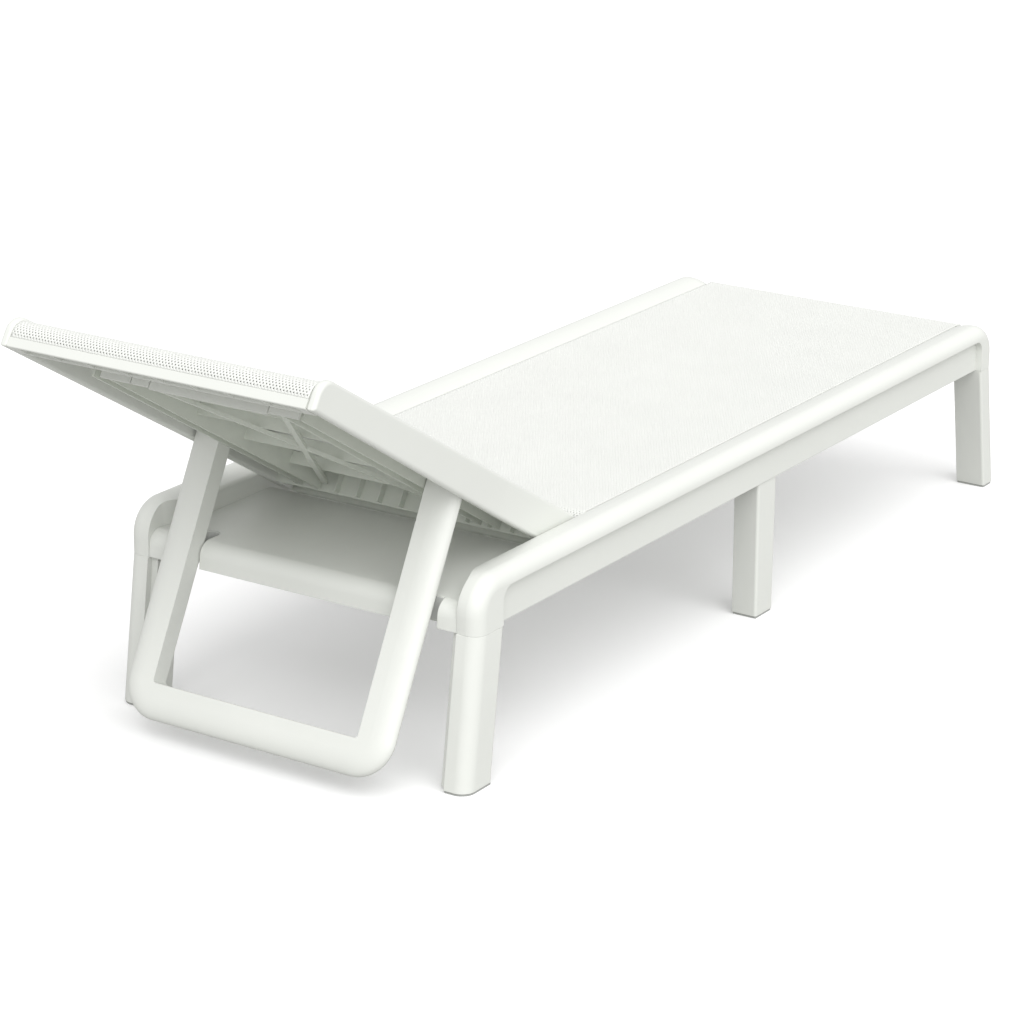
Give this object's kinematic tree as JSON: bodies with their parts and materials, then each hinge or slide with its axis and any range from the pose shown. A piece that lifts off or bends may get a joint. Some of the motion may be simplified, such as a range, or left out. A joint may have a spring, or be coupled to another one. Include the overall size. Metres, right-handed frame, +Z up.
{
  "type": "sun lounger",
  "caption": "Reclining sun lounger: stretched mesh seat between moulded rails on legs, hinged mesh backrest, and a U-shaped bail that swings under the backrest.",
  "frame": {"origin": "on the ground, under the middle of the whole lounger with its backrest at rest", "axes": "+X towards the foot end, +Y to the left of a person lying on it, +Z up"},
  "size_m": [2.2147, 0.7026, 0.7378],
  "materials": {
    "resin": "satin moulded white resin",
    "mesh_fabric": "white coated mesh",
    "pads": "pale matte",
    "fittings": "plain moulded",
    "bar": "white coated tube",
    "steel": "stainless"
  },
  "bodies": {
    "frame": {"side_rail_left": "resin", "side_rail_right": "resin", "leg_head_left": "resin", "leg_head_right": "resin", "leg_mid_left": "resin", "leg_mid_right": "resin", "leg_foot_left": "resin", "leg_foot_right": "resin", "foot_pads": "pads", "head_deck": "resin", "deck_notch_liners": "fittings", "hinge_crossbar": "bar", "foot_crossbar": "bar", "mid_crossbar": "resin", "seat_sling": "mesh_fabric", "sling_edge_rods": "fittings", "crossbar_plugs": "fittings", "leg_screws": "steel", "deck_screws": "steel", "beam_screws": "steel", "hinge_bushes": "fittings"},
    "backrest": {"back_side_left": "resin", "back_side_right": "resin", "back_head_rail": "resin", "back_head_wall": "resin", "back_lower_rail": "resin", "back_hinge_wall": "resin", "back_channel_left": "resin", "back_channel_right": "resin", "back_cross_ribs": "resin", "back_braces": "resin", "back_sling": "mesh_fabric", "hinge_pins": "steel", "bail_pivot_pins": "steel"},
    "bail": {"bail_frame": "resin", "bail_bushes": "fittings"}
  },
  "joints": [
    {"name": "back_recline", "type": "hinge", "parent": "frame", "child": "backrest", "pos_m": [-0.44558, 0, 0.318], "axis": [0, 1, 0], "range_deg": [-31.4, 0.5]},
    {"name": "bail_swing", "type": "hinge", "parent": "backrest", "child": "bail", "pos_m": [-0.677, 0, 0.46516], "axis": [0, -1, 0], "range_deg": [-88.3, 1.5]}
  ],
  "couplings": [
    {"joint": "bail_swing", "follows": "back_recline", "ratio": 2.81}
  ]
}
